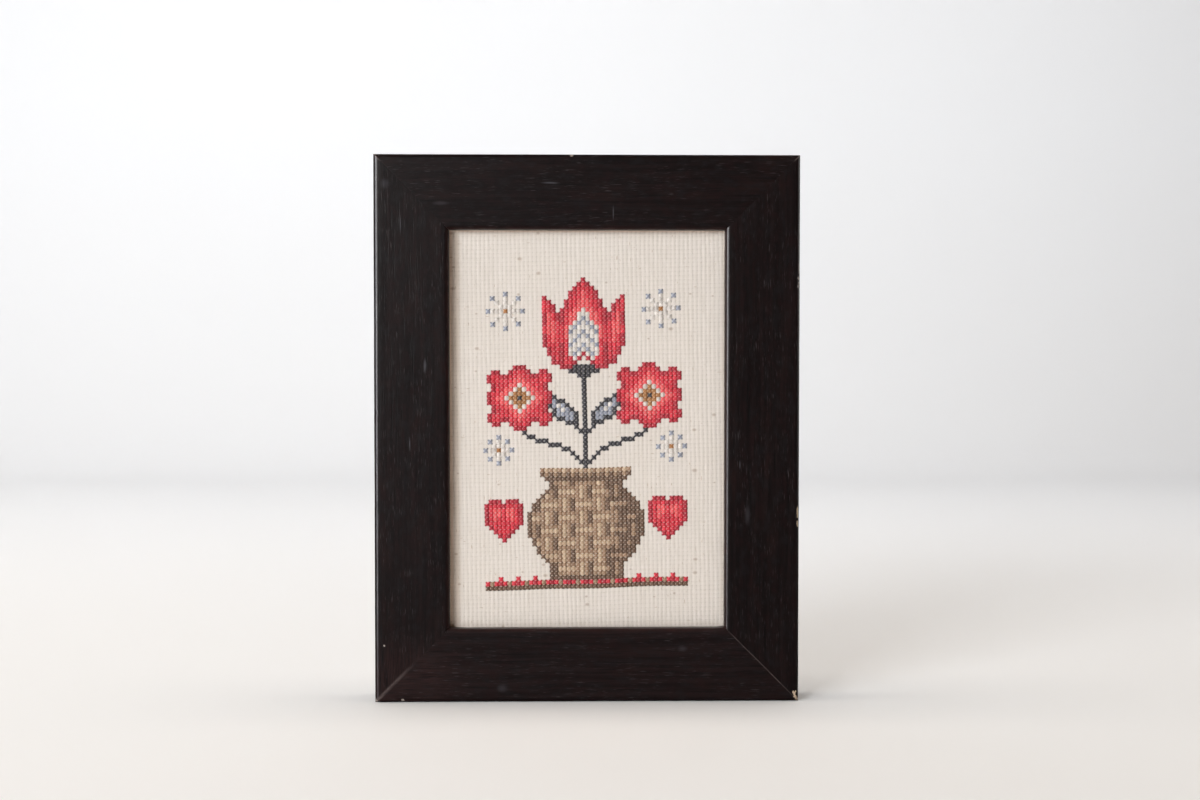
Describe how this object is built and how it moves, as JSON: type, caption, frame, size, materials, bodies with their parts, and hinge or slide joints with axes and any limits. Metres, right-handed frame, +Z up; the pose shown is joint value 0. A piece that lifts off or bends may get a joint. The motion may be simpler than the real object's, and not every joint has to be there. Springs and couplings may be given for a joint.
{
  "type": "cross-stitch picture on cloth with its wooden frame",
  "caption": "Upright rectangular wooden frame with wide flat mitred moulding around a sheet of block-weave cloth worked in cross-stitch, closed behind by a board.",
  "frame": {"origin": "middle of the underside of the frame, half-way between its front and back faces", "axes": "+Z up, +X to the right seen from the front, and the picture faces -Y"},
  "size_m": [0.1776, 0.02, 0.2287],
  "materials": {
    "moulding": "black-brown stain, satin",
    "cloth": "matte cotton block weave with linen flecks",
    "board": "smooth brown hardboard"
  },
  "bodies": {
    "root": {"rail_bottom": "moulding", "rail_top": "moulding", "rail_left": "moulding", "rail_right": "moulding", "cloth": "cloth", "backing_board": "board"}
  },
  "joints": []
}
